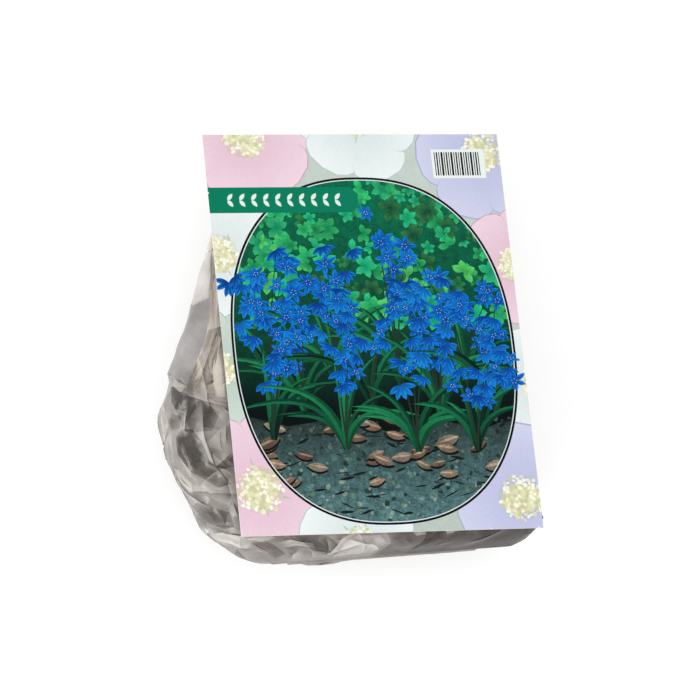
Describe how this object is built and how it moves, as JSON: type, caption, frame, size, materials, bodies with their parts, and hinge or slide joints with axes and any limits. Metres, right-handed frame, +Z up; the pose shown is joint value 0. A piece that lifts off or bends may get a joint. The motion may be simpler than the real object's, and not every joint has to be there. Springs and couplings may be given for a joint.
{
  "type": "bag of flower bulbs with a picture card",
  "caption": "Smoky film bag filled with small flower bulbs and wood shavings, with a stiff flower picture card fixed to its front, lying on its back.",
  "frame": {"origin": "on the surface the pack lies on, under the middle of its box", "axes": "+X to the right across the card as it is read, +Y towards the card's top edge, +Z up out of the card's picture side"},
  "size_m": [0.1968, 0.2246, 0.0605],
  "materials": {
    "card": "printed and varnished",
    "glue": "hot-melt glue",
    "film": "smoky crumpled film",
    "shavings": "dry curls",
    "bulb_skin": "dry papery skin"
  },
  "bodies": {
    "root": {"picture_card": "card", "glue_strip_top": "glue", "glue_strip_middle": "glue", "film_bag": "film", "wood_shavings": "shavings", "bulb_01": "bulb_skin", "bulb_02": "bulb_skin", "bulb_03": "bulb_skin", "bulb_04": "bulb_skin", "bulb_05": "bulb_skin", "bulb_06": "bulb_skin", "bulb_07": "bulb_skin", "bulb_08": "bulb_skin", "bulb_09": "bulb_skin", "bulb_10": "bulb_skin", "bulb_11": "bulb_skin", "bulb_12": "bulb_skin", "bulb_13": "bulb_skin", "bulb_14": "bulb_skin", "bulb_15": "bulb_skin", "bulb_16": "bulb_skin", "bulb_17": "bulb_skin", "bulb_18": "bulb_skin", "bulb_19": "bulb_skin", "bulb_20": "bulb_skin", "bulb_21": "bulb_skin", "bulb_22": "bulb_skin", "bulb_23": "bulb_skin", "bulb_24": "bulb_skin", "bulb_25": "bulb_skin", "bulb_26": "bulb_skin", "bulb_27": "bulb_skin", "bulb_28": "bulb_skin", "bulb_29": "bulb_skin", "bulb_30": "bulb_skin", "bulb_31": "bulb_skin", "bulb_32": "bulb_skin", "bulb_33": "bulb_skin", "bulb_34": "bulb_skin", "bulb_35": "bulb_skin", "bulb_36": "bulb_skin", "bulb_37": "bulb_skin", "bulb_38": "bulb_skin", "bulb_39": "bulb_skin", "bulb_40": "bulb_skin"}
  },
  "joints": []
}
